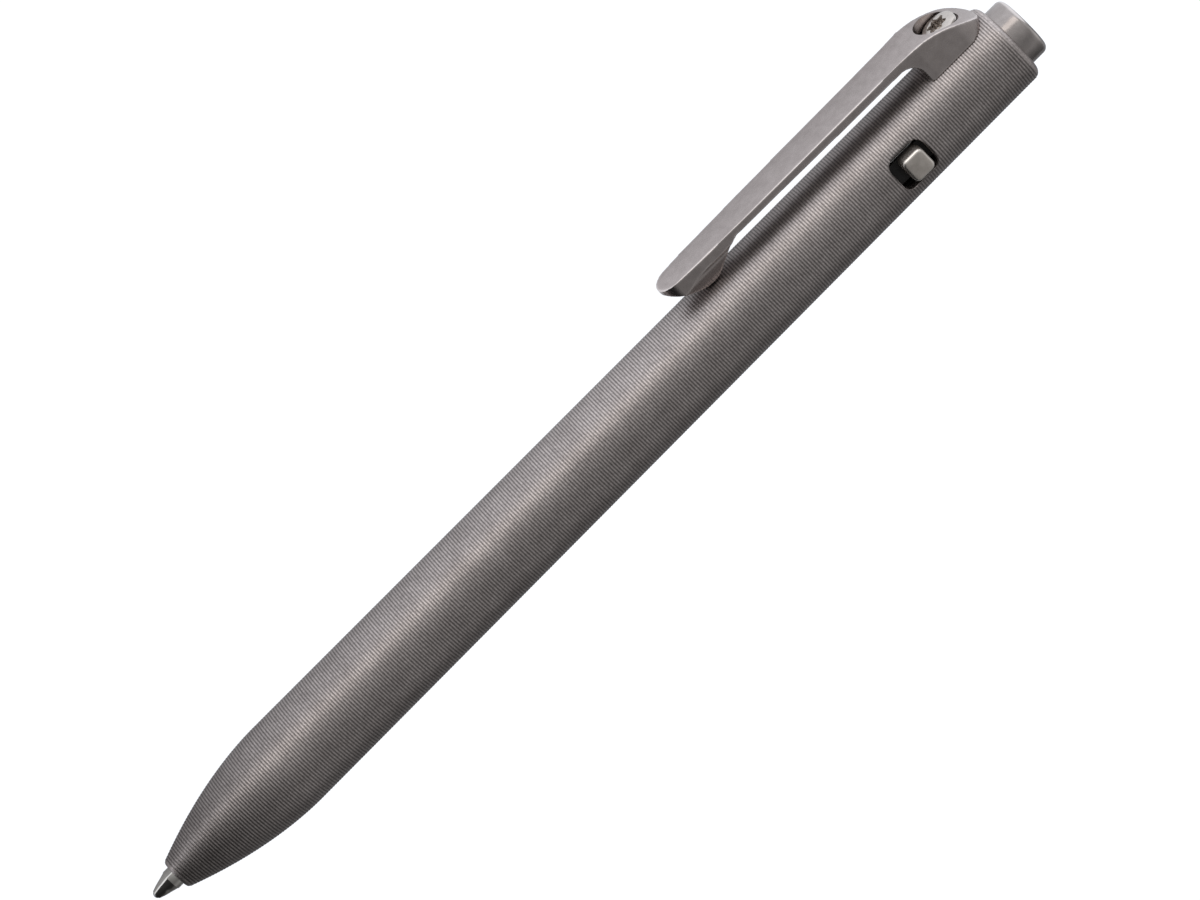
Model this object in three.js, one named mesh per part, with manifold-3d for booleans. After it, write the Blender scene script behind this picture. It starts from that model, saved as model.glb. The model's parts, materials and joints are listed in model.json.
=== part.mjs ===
// Side-click ballpoint pen: the end button locks the refill out and the side button lets it back.
// Millimetres. Every piece is shaped upright: Z runs from the writing ball at 0 to the end button, X points
// from the axis to the clip and Y from the axis to the side button. At the end of the file the pen is laid
// on its side, resting on the barrel's widest ring and on the clip's corner, with the end button's face at
// the origin and the writing ball towards +X.

import * as THREE from 'three';
import { mergeVertices } from 'three/addons/utils/BufferGeometryUtils.js';
import Module from 'manifold-3d';

const wasm = await Module();
wasm.setup();

// Barrel outside
const ballToNose = 3.35;
const noseTipRadius = 1.98;
const noseCurveLength = 17.35;
const noseCurvePower = 1.85;
const noseFillet = 0.3;
const shoulderRadius = 5.42;
const capRadius = 5.13;
const capFillet = 1.0;
const frontBarrelLength = 62.65;
const jointGap = 0.02;

// Barrel inside
const tipHoleRadius = 1.3;
const neckHoleRadius = 1.62;
const neckHoleDepth = 2.25;
const springSeatDepth = 3.65;
const springChamberRadius = 2.45;
const springChamberDepth = 6.95;
const refillBoreRadius = 3.1;
const workBoreRadius = 4.1;
const knockBoreRadius = 3.85;
const boreStepGap = 0.4;

// Joint between the two halves
const tenonRadius = 4.05;
const tenonLength = 8.0;
const tenonChamfer = 0.4;
const grooveRadius = 3.4;
const grooveSetback = 0.8;
const grooveWidth = 0.9;
const oringSectionRadius = 0.32;
const oringSeatGap = 0.03;

// Refill
const refillLength = 98.3;
const refillRadius = 2.95;
const refillTubeWall = 0.3;
const ballRadius = 0.5;
const socketGap = 0.03;
const socketRimAt = 0.32;
const socketRimRadius = 0.54;
const coneMidAt = 1.98;
const coneMidRadius = 1.0;
const coneEndAt = 2.5;
const tipRadius = 1.18;
const tipShankEnd = 8.0;
const neckStart = 6.6;
const neckRadius = 1.5;
const neckShoulderAt = 12.0;
const neckFlangeLength = 1.2;
const neckSpigotLength = 3.8;
const inkChannelRadius = 0.6;
const endCapLength = 2.3;
const endCapRadius = 2.88;
const endPlugLength = 5.0;
const endSlotWidth = 0.8;
const endSlotDepth = 0.8;
const inkLength = 53.0;
const slipGap = 0.05;

// Return spring
const springWireRadius = 0.2;
const springMeanRadius = 1.95;
const springTurns = 4.5;

// End button, stem and foot
const retraction = 4.5;
const overTravel = 0.8;
const stopGap = 0.6;
const knockGap = 0.3;
const knockStandOut = 2.5;
const knockRadius = 3.79;
const knockLength = 12.0;
const knockFillet = 0.8;
const knockChamfer = 0.3;
const stemRadius = 1.3;
const stemSocketDepth = 5.0;
const collarRadius = 2.0;
const collarLength = 1.6;
const collarRamp = 0.8;
const footRimRadius = 3.7;
const footRimLength = 1.5;
const footFloor = 1.8;

// Latch
const latchWireRadius = 0.25;
const latchArmSide = 1.1;
const latchArmHeight = 2.95;
const latchLoopHeight = 2.2;
const latchLoopRadius = 2.3;
const latchLoopRise = 0.7;
const latchReach = 6.5;
const latchAnchorDepth = 1.6;
const latchBend = 0.7;
const latchBendShift = 0.1;
const housingRadius = 4.05;
const housingWall = 0.55;
const housingFrontRing = 2.5;
const housingPastLatch = 4.9;
const housingSlotSide = 1.95;
const housingSlotPastLatch = 2.1;
const lockRingLength = 3.2;
const lockRingBore = 2.4;
const lockRingSlot = 1.0;

// Side button and its window
const windowLength = 4.95;
const windowWidth = 4.64;
const windowCorner = 1.1;
const windowToLatch = 1.77;
const buttonLength = 3.3;
const buttonWidth = 3.4;
const buttonCorner = 0.5;
const buttonBevel = 0.25;
const buttonTop = 5.73;
const buttonShift = 0.33;
const tongueTop = 3.8;
const tongueThickness = 0.5;
const tongueWidth = 2.8;
const tongueOverlap = 0.7;

// Clip
const clipHeight = 9.0;
const clipThickness = 0.8;
const clipEndFromCap = 46.8;
const clipEndWidth = 4.1;
const clipNeckWidth = 5.6;
const clipHeadWidth = 6.04;
const clipNeckFromCap = 11.1;
const clipFlareLength = 2.7;
const clipFootFromCap = 9.4;
const clipFootFillet = 1.0;
const clipArcFromCap = 9.0;
const clipArcRadius = 10.9;
const clipHeadEnd = 0.7;
const clipSaddleGap = 0.05;
const bumpFromEnd = 5.0;
const bumpBarrelGap = 0.06;
const bumpFrontLength = 4.4;
const bumpBackLength = 6.3;
const bumpHalfLength = 1.1;
const bumpRise = 0.4;
const bumpShoulderRise = 1.2;

// Clip screw
const screwFromCap = 4.7;
const counterboreRadius = 2.4;
const counterboreFloor = 6.45;
const screwHeadRadius = 2.03;
const screwHeadTop = 7.75;
const screwDome = 0.35;
const screwDomeMidRadius = 1.2;
const screwDomeMidDrop = 0.1;
const screwShankRadius = 1.2;
const screwHoleGap = 0.05;
const recessRadius = 0.96;
const recessLobe = 0.17;
const recessFloor = 6.95;

// Facets round each kind of piece
const wideFacets = 48;
const smallFacets = 24;
const arcSteps = 4;

// Places along the axis: from the writing ball back through the refill, the foot's travel, the latch and the
// end button, whose face is the far end of the pen
const noseEnd = ballToNose;
const shoulderAt = noseEnd + noseCurveLength;
const jointAt = noseEnd + frontBarrelLength;
const springSeatAt = noseEnd + springSeatDepth;
const refillInnerRadius = refillRadius - refillTubeWall;
const neckFlangeEnd = neckShoulderAt + neckFlangeLength;
const refillTubeEnd = refillLength - endCapLength;
const stemStart = refillLength + slipGap;
const footEnd = stemStart + footFloor;
const lockRingStart = footEnd + retraction + stopGap;
const housingStart = lockRingStart + lockRingLength + slipGap;
const cageStart = housingStart + housingFrontRing;
const cageRadius = housingRadius - housingWall;
const latchPlane = cageStart + latchReach;
const collarEnd = latchPlane - latchWireRadius - slipGap;
const housingEnd = latchPlane + housingPastLatch;
const boreStep = housingEnd + boreStepGap;
const knockStart = housingEnd + overTravel + knockGap;
const knockEnd = knockStart + knockLength;
const capEnd = knockEnd - knockStandOut;
const windowMid = latchPlane - windowToLatch;
const buttonMid = windowMid + buttonShift;
const clipEnd = capEnd - clipEndFromCap;
const clipUnderside = clipHeight - clipThickness;
const clipFootAt = capEnd - clipFootFromCap;
const screwAt = capEnd - screwFromCap;

// Materials
const metal = (color, roughness) => new THREE.MeshStandardMaterial({ color, roughness, metalness: 1 });
const titanium = metal(0x8b8683, 0.45);
const tumbledTitanium = metal(0x9a9491, 0.5);
const steel = metal(0xb4b4b2, 0.3);
const darkSteel = metal(0x5a5a5a, 0.4);
const brass = metal(0xc9a45c, 0.35);
const nickel = metal(0xc8c6c0, 0.2);
const rubber = new THREE.MeshStandardMaterial({ color: 0x1c1c1c, roughness: 0.8 });
const plastic = new THREE.MeshStandardMaterial({ color: 0x2a2c30, roughness: 0.5 });
const ink = new THREE.MeshStandardMaterial({ color: 0x101830, roughness: 0.3 });

// Solids

// One closed solid from a closed geometry, without the thin triangles at a lathe's poles
function solidFrom(geometry) {
  geometry.deleteAttribute('normal');
  geometry.deleteAttribute('uv');
  const merged = mergeVertices(geometry, 1e-5);
  const corners = merged.index.array;
  const kept = [];
  for (let i = 0; i < corners.length; i += 3) {
    const [a, b, c] = [corners[i], corners[i + 1], corners[i + 2]];
    if (a !== b && b !== c && c !== a) {
      kept.push(a, b, c);
    }
  }
  const mesh = new wasm.Mesh({
    numProp: 3,
    vertProperties: new Float32Array(merged.attributes.position.array),
    triVerts: new Uint32Array(kept),
  });
  return new wasm.Manifold(mesh);
}

function pieceFrom(name, solid, material) {
  const { vertProperties, triVerts } = solid.getMesh();
  const geometry = new THREE.BufferGeometry();
  geometry.setAttribute('position', new THREE.BufferAttribute(vertProperties, 3));
  geometry.setIndex(new THREE.BufferAttribute(triVerts, 1));
  geometry.computeVertexNormals();
  const piece = new THREE.Mesh(geometry, material);
  piece.name = name;
  return piece;
}

// A turned solid. The outline lists [radius, along] points, up the outside and back down the inside.
// It starts and ends on the axis, or is closed here where it goes round a bore.
function turned(outline, facets = wideFacets) {
  const points = outline.map(([radius, along]) => new THREE.Vector2(radius, along));
  if (points[0].x > 0) {
    points.push(points[0].clone());
  }
  return solidFrom(new THREE.LatheGeometry(points, facets).rotateX(Math.PI / 2));
}

// A straight extrusion of a shape drawn on two of the pen's axes, along the third one
function extruded(shape, across, up, from, to, bevel = 0) {
  const options = {
    depth: to - from - 2 * bevel,
    curveSegments: 2 * arcSteps,
    bevelEnabled: bevel > 0,
    bevelThickness: bevel,
    bevelSize: bevel,
    bevelOffset: -bevel,
    bevelSegments: 2,
  };
  const outwards = new THREE.Vector3().crossVectors(across, up);
  const turn = new THREE.Matrix4().makeBasis(across, up, outwards);
  turn.setPosition(outwards.clone().multiplyScalar(from + bevel));
  return solidFrom(new THREE.ExtrudeGeometry(shape, options).applyMatrix4(turn));
}

// A round wire along a curve
function wireAlong(curve, wireRadius, sides, steps) {
  const section = new THREE.Shape();
  section.absarc(0, 0, wireRadius, 0, 2 * Math.PI);
  const points = section.getPoints(sides / 2).slice(0, sides);
  const options = { steps, extrudePath: curve, curveSegments: 1, bevelEnabled: false };
  return solidFrom(new THREE.ExtrudeGeometry(new THREE.Shape(points), options));
}

// A quarter circle that rounds a turned outline's outer edge at its far end
function roundedEdge(radius, end, size) {
  const points = [];
  for (let step = 0; step <= arcSteps; step += 1) {
    const angle = ((Math.PI / 2) * step) / arcSteps;
    points.push([radius - size + size * Math.cos(angle), end - size + size * Math.sin(angle)]);
  }
  return points;
}

function roundedRectangle(length, width, corner) {
  const shape = new THREE.Shape();
  const [x, y] = [length / 2, width / 2];
  shape.moveTo(-x + corner, -y);
  shape.lineTo(x - corner, -y);
  shape.absarc(x - corner, -y + corner, corner, -Math.PI / 2, 0);
  shape.lineTo(x, y - corner);
  shape.absarc(x - corner, y - corner, corner, 0, Math.PI / 2);
  shape.lineTo(-x + corner, y);
  shape.absarc(-x + corner, y - corner, corner, Math.PI / 2, Math.PI);
  shape.lineTo(-x, -y + corner);
  shape.absarc(-x + corner, -y + corner, corner, Math.PI, 1.5 * Math.PI);
  return shape;
}

const axisX = new THREE.Vector3(1, 0, 0);
const axisY = new THREE.Vector3(0, 1, 0);
const axisZ = new THREE.Vector3(0, 0, 1);

// Barrel

// The nose swells by a power curve up to the shoulder, then the barrel tapers a little to the cap end
function barrelRadius(along) {
  if (along < shoulderAt) {
    const share = (shoulderAt - along) / noseCurveLength;
    return shoulderRadius - (shoulderRadius - noseTipRadius) * share ** noseCurvePower;
  }
  const share = (along - shoulderAt) / (capEnd - shoulderAt);
  return shoulderRadius + (capRadius - shoulderRadius) * share;
}

function noseOutline() {
  const steps = 12;
  const points = [];
  const first = noseEnd + noseFillet;
  for (let step = 0; step <= steps; step += 1) {
    const along = first + ((shoulderAt - first) * step) / steps;
    points.push([barrelRadius(along), along]);
  }
  return points;
}

function makeFrontBarrel() {
  const tenonEnd = jointAt + tenonLength;
  const groove = jointAt + grooveSetback;
  return turned([
    [tipHoleRadius, noseEnd],
    [noseTipRadius - noseFillet, noseEnd],
    ...noseOutline(),
    [barrelRadius(jointAt), jointAt],
    [tenonRadius, jointAt],
    [tenonRadius, groove],
    [grooveRadius, groove],
    [grooveRadius, groove + grooveWidth],
    [tenonRadius, groove + grooveWidth],
    [tenonRadius, tenonEnd - tenonChamfer],
    [tenonRadius - tenonChamfer, tenonEnd],
    [refillBoreRadius, tenonEnd],
    [refillBoreRadius, noseEnd + springChamberDepth],
    [springChamberRadius, noseEnd + springChamberDepth],
    [springChamberRadius, springSeatAt],
    [neckHoleRadius, springSeatAt],
    [neckHoleRadius, noseEnd + neckHoleDepth],
    [tipHoleRadius, noseEnd + neckHoleDepth],
  ]);
}

function makeRearBarrel() {
  const start = jointAt + jointGap;
  const shell = turned([
    [workBoreRadius, start],
    [barrelRadius(start), start],
    ...roundedEdge(capRadius, capEnd, capFillet),
    [knockBoreRadius, capEnd],
    [knockBoreRadius, boreStep],
    [workBoreRadius, boreStep],
  ]);
  const window = extruded(
    roundedRectangle(windowLength, windowWidth, windowCorner), axisZ, axisX, 0, 2 * capRadius,
  ).translate([0, 0, windowMid]);
  const screwHole = alongClip([
    [0, 0],
    [screwShankRadius + screwHoleGap, 0],
    [screwShankRadius + screwHoleGap, 2 * capRadius],
    [0, 2 * capRadius],
  ]);
  return shell.subtract(window).subtract(screwHole);
}

function makeJointOring() {
  const ringRadius = grooveRadius + oringSectionRadius + oringSeatGap;
  const middle = jointAt + grooveSetback + grooveWidth / 2;
  const section = [];
  const sides = 6;
  for (let side = 0; side < sides; side += 1) {
    const angle = (2 * Math.PI * side) / sides;
    const radius = ringRadius + oringSectionRadius * Math.cos(angle);
    section.push([radius, middle + oringSectionRadius * Math.sin(angle)]);
  }
  return turned(section);
}

// Refill

function makeRefillBall() {
  return solidFrom(new THREE.SphereGeometry(ballRadius, 16, 10).translate(0, 0, ballRadius));
}

function makeRefillTip() {
  const socket = [];
  const socketRadius = ballRadius + socketGap;
  const rimAngle = Math.asin((socketRimAt - ballRadius) / socketRadius);
  const socketSteps = 6;
  for (let step = 0; step <= socketSteps; step += 1) {
    const angle = Math.PI / 2 + ((rimAngle - Math.PI / 2) * step) / socketSteps;
    const radius = step === 0 ? 0 : socketRadius * Math.cos(angle);
    socket.push([radius, ballRadius + socketRadius * Math.sin(angle)]);
  }
  return turned([
    ...socket,
    [socketRimRadius, socketRimAt],
    [coneMidRadius, coneMidAt],
    [tipRadius, coneEndAt],
    [tipRadius, tipShankEnd],
    [0, tipShankEnd],
  ], smallFacets);
}

function makeRefillNeck() {
  const spigotEnd = neckFlangeEnd + neckSpigotLength;
  const spigotRadius = refillInnerRadius - slipGap;
  const shankBore = tipRadius + slipGap;
  const shankBoreEnd = tipShankEnd + slipGap;
  return turned([
    [shankBore, neckStart],
    [neckRadius, neckStart],
    [neckRadius, neckShoulderAt],
    [refillRadius, neckShoulderAt],
    [refillRadius, neckFlangeEnd],
    [spigotRadius, neckFlangeEnd],
    [spigotRadius, spigotEnd],
    [inkChannelRadius, spigotEnd],
    [inkChannelRadius, shankBoreEnd],
    [shankBore, shankBoreEnd],
  ], smallFacets);
}

function makeRefillTube() {
  return turned([
    [refillInnerRadius, neckFlangeEnd + slipGap],
    [refillRadius, neckFlangeEnd + slipGap],
    [refillRadius, refillTubeEnd],
    [refillInnerRadius, refillTubeEnd],
  ], smallFacets);
}

function makeInkColumn() {
  const start = neckFlangeEnd + neckSpigotLength + slipGap;
  return turned([
    [0, start],
    [refillInnerRadius - slipGap, start],
    [refillInnerRadius - slipGap, start + inkLength],
    [0, start + inkLength],
  ], smallFacets);
}

function makeRefillEndCap() {
  const plugRadius = refillInnerRadius - slipGap;
  const plug = turned([
    [0, refillTubeEnd - endPlugLength],
    [plugRadius, refillTubeEnd - endPlugLength],
    [plugRadius, refillTubeEnd + slipGap],
    [endCapRadius, refillTubeEnd + slipGap],
    [endCapRadius, refillLength],
    [0, refillLength],
  ], smallFacets);
  const slot = new THREE.BoxGeometry(4 * refillRadius, endSlotWidth, 2 * endSlotDepth);
  return plug.subtract(solidFrom(slot.translate(0, 0, refillLength)));
}

// Return spring

class Helix extends THREE.Curve {
  constructor(radius, start, end, turns) {
    super();
    Object.assign(this, { radius, start, end, turns });
  }

  getPoint(share, target = new THREE.Vector3()) {
    const angle = 2 * Math.PI * this.turns * share;
    const along = this.start + (this.end - this.start) * share;
    return target.set(this.radius * Math.cos(angle), this.radius * Math.sin(angle), along);
  }
}

// The least gap between turns, measured on points of the wire's centre line
function leastGapBetweenTurns(curve, wireRadius) {
  const perTurn = 24;
  const points = curve.getPoints(Math.round(curve.turns * perTurn));
  let least = Infinity;
  points.forEach((point, i) => {
    points.slice(i + perTurn / 2).forEach((other) => {
      least = Math.min(least, point.distanceTo(other) - 2 * wireRadius);
    });
  });
  return least;
}

function makeReturnSpring() {
  const start = springSeatAt + springWireRadius + slipGap;
  const end = neckShoulderAt - springWireRadius - slipGap;
  const helix = new Helix(springMeanRadius, start, end, springTurns);
  console.log(`return spring: least gap ${leastGapBetweenTurns(helix, springWireRadius).toFixed(2)} mm`);
  const stepsPerTurn = 8;
  return wireAlong(helix, springWireRadius, 5, springTurns * stepsPerTurn);
}

// End button, stem and foot

function makePlungerHead() {
  const socketRadius = stemRadius + slipGap;
  return turned([
    [0, knockStart + stemSocketDepth],
    [socketRadius, knockStart + stemSocketDepth],
    [socketRadius, knockStart],
    [knockRadius - knockChamfer, knockStart],
    [knockRadius, knockStart + knockChamfer],
    ...roundedEdge(knockRadius, knockEnd, knockFillet),
    [0, knockEnd],
  ]);
}

function makePlungerStem() {
  const collarStart = collarEnd - collarLength;
  const stemEnd = knockStart + stemSocketDepth - slipGap;
  return turned([
    [0, stemStart],
    [stemRadius, stemStart],
    [stemRadius, collarStart - collarRamp],
    [collarRadius, collarStart],
    [collarRadius, collarEnd],
    [stemRadius, collarEnd],
    [stemRadius, stemEnd],
    [0, stemEnd],
  ], smallFacets);
}

function makePlungerFoot() {
  const bore = stemRadius + slipGap;
  const cupRadius = endCapRadius + 2 * slipGap;
  return turned([
    [bore, stemStart],
    [cupRadius, stemStart],
    [cupRadius, stemStart - footRimLength],
    [footRimRadius, stemStart - footRimLength],
    [footRimRadius, footEnd],
    [bore, footEnd],
  ], smallFacets);
}

// Latch

// Half of the wire, from its anchor in the housing to the bottom of the loop; the other half mirrors it
function latchHalfPath() {
  const anchor = cageStart - latchAnchorDepth + 2 * slipGap;
  const points = [
    [latchArmSide, latchArmHeight, anchor],
    [latchArmSide, latchArmHeight, (anchor + latchPlane) / 2],
    [latchArmSide, latchArmHeight, latchPlane - latchBend],
    [latchArmSide + latchBendShift, latchArmHeight - latchBendShift, latchPlane - latchBendShift],
    [latchLoopRadius - latchBendShift, latchLoopHeight, latchPlane],
    [latchLoopRadius, latchLoopHeight - latchBend, latchPlane],
  ];
  const arcPoints = 4;
  for (let step = 0; step < arcPoints; step += 1) {
    const angle = (-Math.PI / 2) * (step / arcPoints);
    const height = latchLoopRise + latchLoopRadius * Math.sin(angle);
    points.push([latchLoopRadius * Math.cos(angle), height, latchPlane]);
  }
  return points;
}

function makeLatchSpring() {
  const half = latchHalfPath();
  const bottom = [0, latchLoopRise - latchLoopRadius, latchPlane];
  const other = half.map(([side, height, along]) => [-side, height, along]).reverse();
  const points = [...half, bottom, ...other].map((point) => new THREE.Vector3(...point));
  const path = new THREE.CatmullRomCurve3(points, false, 'centripetal');
  const steps = 72;
  return wireAlong(path, latchWireRadius, 6, steps);
}

function makeLatchHousing() {
  const bore = stemRadius + slipGap;
  const sleeve = turned([
    [bore, housingStart],
    [housingRadius, housingStart],
    [housingRadius, housingEnd],
    [cageRadius, housingEnd],
    [cageRadius, cageStart],
    [bore, cageStart],
  ]);
  const slotLength = latchPlane + housingSlotPastLatch - cageStart;
  const slot = new THREE.BoxGeometry(2 * housingSlotSide, 2 * housingRadius, slotLength);
  slot.translate(0, housingRadius, cageStart + slotLength / 2);
  let housing = sleeve.subtract(solidFrom(slot));
  const holeRadius = latchWireRadius + slipGap;
  for (const side of [-latchArmSide, latchArmSide]) {
    const hole = new THREE.CylinderGeometry(holeRadius, holeRadius, 2 * latchAnchorDepth, 12);
    hole.rotateX(Math.PI / 2).translate(side, latchArmHeight, cageStart);
    housing = housing.subtract(solidFrom(hole));
  }
  return housing;
}

function makeLockRing() {
  const end = lockRingStart + lockRingLength;
  const ring = turned([
    [lockRingBore, lockRingStart],
    [housingRadius, lockRingStart],
    [housingRadius, end],
    [lockRingBore, end],
  ], smallFacets);
  const slot = new THREE.BoxGeometry(4 * housingRadius, lockRingSlot, 2 * lockRingSlot);
  return ring.subtract(solidFrom(slot.translate(0, 0, lockRingStart)));
}

// Side button

function makeSideButton() {
  const cap = extruded(
    roundedRectangle(buttonLength, buttonWidth, buttonCorner), axisZ, axisX,
    tongueTop - tongueThickness, buttonTop, buttonBevel,
  ).translate([0, 0, buttonMid]);
  const below = new THREE.BoxGeometry(2 * buttonWidth, tongueTop, 2 * buttonLength);
  below.translate(0, tongueTop / 2, buttonMid);
  const tongueLength = windowLength + 2 * tongueOverlap;
  const tongue = new THREE.BoxGeometry(tongueWidth, tongueThickness, tongueLength);
  tongue.translate(0, tongueTop - tongueThickness / 2, windowMid);
  return cap.subtract(solidFrom(below)).add(solidFrom(tongue));
}

// Clip

// The clip seen from its side: arm, bump under the free end, foot, and the head's arc down to the barrel
function clipSide() {
  const bumpAt = clipEnd + bumpFromEnd;
  const bumpLow = barrelRadius(bumpAt) + bumpBarrelGap;
  const bumpSide = bumpLow + bumpRise;
  const bumpShoulder = bumpAt + bumpHalfLength + bumpShoulderRise;
  const arcAt = capEnd - clipArcFromCap;
  const arcSpan = Math.asin((capEnd - clipHeadEnd - arcAt) / clipArcRadius);
  const shape = new THREE.Shape();
  shape.moveTo(clipEnd, clipHeight);
  shape.lineTo(clipEnd, clipUnderside);
  shape.lineTo(bumpAt - bumpFrontLength, clipUnderside);
  shape.lineTo(bumpAt - bumpHalfLength, bumpSide);
  shape.quadraticCurveTo(bumpAt, bumpLow - bumpRise, bumpAt + bumpHalfLength, bumpSide);
  shape.lineTo(bumpShoulder, bumpSide + bumpShoulderRise);
  shape.quadraticCurveTo(
    bumpShoulder + bumpShoulderRise, clipUnderside, bumpAt + bumpBackLength, clipUnderside,
  );
  shape.lineTo(clipFootAt - clipFootFillet, clipUnderside);
  const [filletAt, filletHeight] = [clipFootAt - clipFootFillet, clipUnderside - clipFootFillet];
  shape.absarc(filletAt, filletHeight, clipFootFillet, Math.PI / 2, 0, true);
  shape.lineTo(clipFootAt, 0);
  shape.lineTo(capEnd - clipHeadEnd, 0);
  shape.absarc(arcAt, clipHeight - clipArcRadius, clipArcRadius, Math.PI / 2 - arcSpan, Math.PI / 2);
  shape.closePath();
  return extruded(shape, axisZ, axisX, -clipHeadWidth, clipHeadWidth);
}

// The clip seen from above: round free end, slow taper, flare to the head and the head's round end
function clipPlan() {
  const neckAt = capEnd - clipNeckFromCap;
  const flareAt = neckAt + clipFlareLength;
  const headRadius = clipHeadWidth / 2;
  const headEnd = capEnd - clipHeadEnd;
  const endRadius = clipEndWidth / 2;
  const shape = new THREE.Shape();
  shape.absarc(0, clipEnd + endRadius, endRadius, Math.PI, 2 * Math.PI);
  shape.lineTo(clipNeckWidth / 2, neckAt);
  shape.lineTo(headRadius, flareAt);
  shape.absarc(0, headEnd - headRadius, headRadius, 0, Math.PI);
  shape.lineTo(-headRadius, flareAt);
  shape.lineTo(-clipNeckWidth / 2, neckAt);
  shape.closePath();
  return extruded(shape, axisY, axisZ, 0, 2 * clipHeight);
}

// A turned solid round the screw's own axis, which points from the pen's axis to the clip's head
function alongClip(outline) {
  const points = outline.map(([radius, height]) => new THREE.Vector2(radius, height));
  const geometry = new THREE.LatheGeometry(points, smallFacets);
  return solidFrom(geometry.rotateZ(-Math.PI / 2).translate(0, 0, screwAt));
}

function makeClip() {
  const saddle = turned([
    [0, clipEnd],
    [barrelRadius(clipEnd) + clipSaddleGap, clipEnd],
    [barrelRadius(capEnd) + clipSaddleGap, capEnd],
    [0, capEnd],
  ]);
  const counterbore = alongClip([
    [0, counterboreFloor],
    [counterboreRadius, counterboreFloor],
    [counterboreRadius, 2 * clipHeight],
    [0, 2 * clipHeight],
  ]);
  const hole = alongClip([
    [0, 0],
    [screwShankRadius + screwHoleGap, 0],
    [screwShankRadius + screwHoleGap, 2 * clipHeight],
    [0, 2 * clipHeight],
  ]);
  return clipSide().intersect(clipPlan()).subtract(saddle).subtract(counterbore).subtract(hole);
}

function makeClipScrew() {
  const headUnder = counterboreFloor + slipGap;
  const shankEnd = knockBoreRadius + 2 * slipGap;
  const body = alongClip([
    [0, shankEnd],
    [screwShankRadius, shankEnd],
    [screwShankRadius, headUnder],
    [screwHeadRadius, headUnder],
    [screwHeadRadius, screwHeadTop - screwDome],
    [screwDomeMidRadius, screwHeadTop - screwDomeMidDrop],
    [0, screwHeadTop],
  ]);
  const lobes = [];
  const lobePoints = 36;
  for (let step = 0; step < lobePoints; step += 1) {
    const angle = (2 * Math.PI * step) / lobePoints;
    const radius = recessRadius + recessLobe * Math.cos(6 * angle);
    lobes.push(new THREE.Vector2(radius * Math.cos(angle), radius * Math.sin(angle)));
  }
  const recess = extruded(new THREE.Shape(lobes), axisY, axisZ, recessFloor, clipHeight);
  return body.subtract(recess.translate([0, 0, screwAt]));
}

// The pen, upright

const pen = new THREE.Group();
pen.add(
  pieceFrom('front_barrel', makeFrontBarrel(), titanium),
  pieceFrom('rear_barrel', makeRearBarrel(), titanium),
  pieceFrom('joint_oring', makeJointOring(), rubber),
  pieceFrom('refill_ball', makeRefillBall(), steel),
  pieceFrom('refill_tip', makeRefillTip(), nickel),
  pieceFrom('refill_neck', makeRefillNeck(), brass),
  pieceFrom('refill_tube', makeRefillTube(), steel),
  pieceFrom('ink_column', makeInkColumn(), ink),
  pieceFrom('refill_end_cap', makeRefillEndCap(), plastic),
  pieceFrom('return_spring', makeReturnSpring(), steel),
  pieceFrom('plunger_head', makePlungerHead(), tumbledTitanium),
  pieceFrom('plunger_stem', makePlungerStem(), steel),
  pieceFrom('plunger_foot', makePlungerFoot(), brass),
  pieceFrom('latch_spring', makeLatchSpring(), steel),
  pieceFrom('latch_housing', makeLatchHousing(), darkSteel),
  pieceFrom('lock_ring', makeLockRing(), brass),
  pieceFrom('side_button', makeSideButton(), tumbledTitanium),
  pieceFrom('clip', makeClip(), tumbledTitanium),
  pieceFrom('clip_screw', makeClipScrew(), tumbledTitanium),
);

// Lying down: the roll lets the clip's outer corner and the barrel's widest ring touch one flat surface
const cornerReach = Math.hypot(clipHeight, clipHeadWidth / 2);
const roll = Math.asin(shoulderRadius / cornerReach) - Math.atan2(clipHeadWidth / 2, clipHeight);
pen.rotation.z = -(Math.PI / 2 + roll);

const lyingPen = new THREE.Group();
lyingPen.rotation.y = -Math.PI / 2;
lyingPen.position.x = knockEnd;
lyingPen.add(pen);

const model = new THREE.Group();
model.add(lyingPen);

export default model;
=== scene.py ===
# %% [markdown]
# A side-click pen, in cells. The metal of this pen is plain, so its looks come from three things: the fine
# thread that the lathe leaves round the barrel, the soft tumbled edges of the clip and the buttons, and a
# soft light that the bare metal can mirror.

# %% Load the frame
import json
import math
import bmesh
import bpy
import numpy as np
from mathutils import Matrix, Vector


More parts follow.
